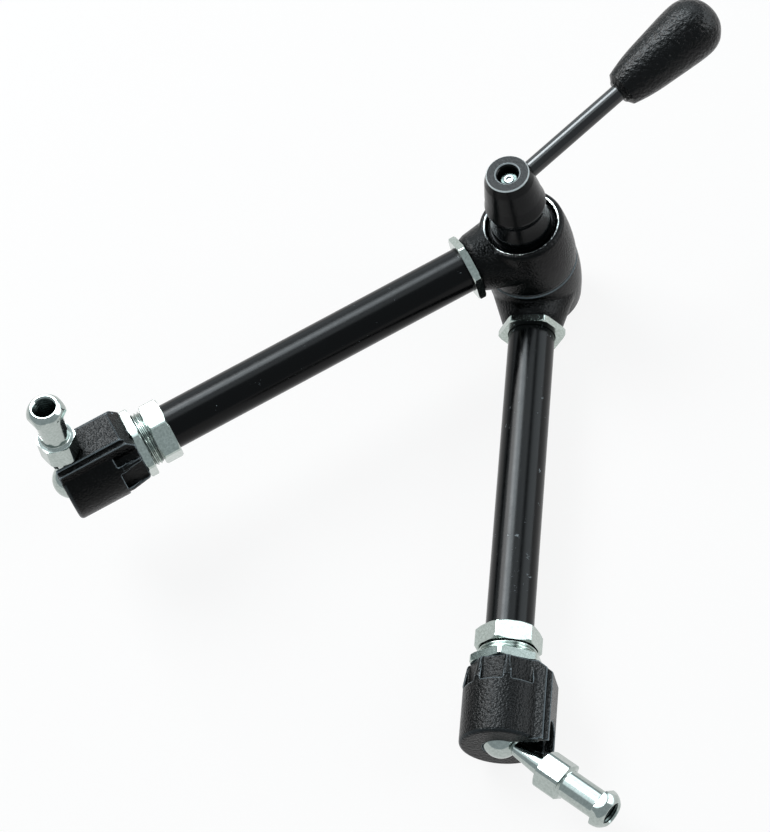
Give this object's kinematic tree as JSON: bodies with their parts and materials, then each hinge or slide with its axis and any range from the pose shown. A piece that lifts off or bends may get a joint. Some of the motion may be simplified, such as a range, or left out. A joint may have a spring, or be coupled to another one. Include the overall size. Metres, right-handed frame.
{
  "type": "articulating friction arm",
  "caption": "Two-section support arm with a clamped elbow, a ball joint and hexagonal stud at each end, and one lever that locks every joint.",
  "frame": {"origin": "middle of the round waist of stud A, the stud that a clamp grips", "axes": "+Z along the elbow axis towards the lever, -Y along tube A from the elbow to stud A's ball, +X towards the side that stud A leans to"},
  "size_m": [0.2987, 0.3529, 0.121],
  "materials": {
    "wrinkle_black": "black wrinkle enamel on die-cast metal",
    "gloss_black": "gloss black enamel on drawn tube",
    "bright_nickel": "bright nickel plate on turned steel",
    "bright_zinc": "bright zinc plate on turned steel",
    "burnished_black": "satin black oxide on turned steel",
    "grained_plastic": "grained black moulded plastic",
    "plain_steel": "oiled turned steel",
    "friction_lining": "dark fibre friction lining",
    "seat_brass": "turned brass"
  },
  "bodies": {
    "stud_a": {"hex_stud_a": "bright_nickel"},
    "ball_a": {"ball_stem_a": "bright_nickel"},
    "seat_a": {"ball_seat_a": "seat_brass"},
    "arm_a": {"socket_housing_a": "wrinkle_black", "housing_locknut_a": "bright_zinc", "tube_adapter_a": "bright_zinc", "tube_a": "gloss_black", "elbow_locknut_a": "bright_zinc", "elbow_lower_half": "wrinkle_black", "disc_springs": "plain_steel", "base_cap": "burnished_black"},
    "rod_a": {"push_rod_a": "plain_steel"},
    "arm_b": {"socket_housing_b": "wrinkle_black", "housing_locknut_b": "bright_zinc", "tube_adapter_b": "bright_zinc", "tube_b": "gloss_black", "elbow_locknut_b": "bright_zinc", "elbow_upper_half": "wrinkle_black", "friction_disc": "friction_lining", "thrust_washer": "plain_steel"},
    "wedge_bolt": {"draw_bolt": "plain_steel", "bolt_end_nut": "bright_zinc"},
    "lever": {"lever_hub": "burnished_black", "lever_rod": "burnished_black", "lever_knob": "grained_plastic"},
    "rod_b": {"push_rod_b": "plain_steel"},
    "seat_b": {"ball_seat_b": "seat_brass"},
    "ball_b": {"ball_stem_b": "bright_nickel"},
    "stud_b": {"hex_stud_b": "bright_nickel"}
  },
  "joints": [
    {"name": "stud_a_spin", "type": "hinge", "parent": "stud_a", "child": "ball_a", "pos_m": [-0.03625, 0.02538, 0], "axis": [0.8192, -0.5736, 0], "continuous": true},
    {"name": "stud_a_tilt", "type": "hinge", "parent": "ball_a", "child": "seat_a", "pos_m": [-0.03625, 0.02538, 0], "axis": [0, 0, 1], "range_deg": [-35, 85]},
    {"name": "stud_a_sway", "type": "hinge", "parent": "seat_a", "child": "arm_a", "pos_m": [-0.03625, 0.02538, 0], "axis": [0, -1, 0], "range_deg": [-3, 3]},
    {"name": "elbow_turn", "type": "hinge", "parent": "arm_a", "child": "arm_b", "pos_m": [-0.03625, 0.25478, 0.0172], "axis": [0, 0, 1], "range_deg": [-276, 46]},
    {"name": "lever_turn", "type": "hinge", "parent": "arm_b", "child": "lever", "pos_m": [-0.03625, 0.25478, 0.0172], "axis": [0, 0, 1], "range_deg": [0, 120]},
    {"name": "bolt_fall", "type": "slide", "parent": "arm_b", "child": "wedge_bolt", "axis": [0, 0, -1], "range_m": [0, 0.00101]},
    {"name": "rod_a_slide", "type": "slide", "parent": "arm_a", "child": "rod_a", "axis": [0, 1, 0], "range_m": [0, 0.000707]},
    {"name": "rod_b_slide", "type": "slide", "parent": "arm_b", "child": "rod_b", "axis": [0.8504, 0.5262, 0], "range_m": [0, 0.000707]},
    {"name": "stud_b_sway", "type": "hinge", "parent": "arm_b", "child": "seat_b", "pos_m": [-0.23132, 0.13407, 0.0344], "axis": [-0.8504, -0.5262, 0], "range_deg": [-3, 3]},
    {"name": "stud_b_tilt", "type": "hinge", "parent": "seat_b", "child": "ball_b", "pos_m": [-0.23132, 0.13407, 0.0344], "axis": [0.5262, -0.8504, 0], "range_deg": [0, 125]},
    {"name": "stud_b_spin", "type": "hinge", "parent": "ball_b", "child": "stud_b", "pos_m": [-0.23132, 0.13407, 0.0344], "axis": [0.0741, 0.0459, 0.9962], "continuous": true}
  ],
  "couplings": [
    {"joint": "bolt_fall", "follows": "lever_turn", "m_per_rad": 0.00047746},
    {"joint": "rod_a_slide", "follows": "lever_turn", "m_per_rad": 0.00033432},
    {"joint": "rod_b_slide", "follows": "lever_turn", "m_per_rad": 0.00033432}
  ]
}
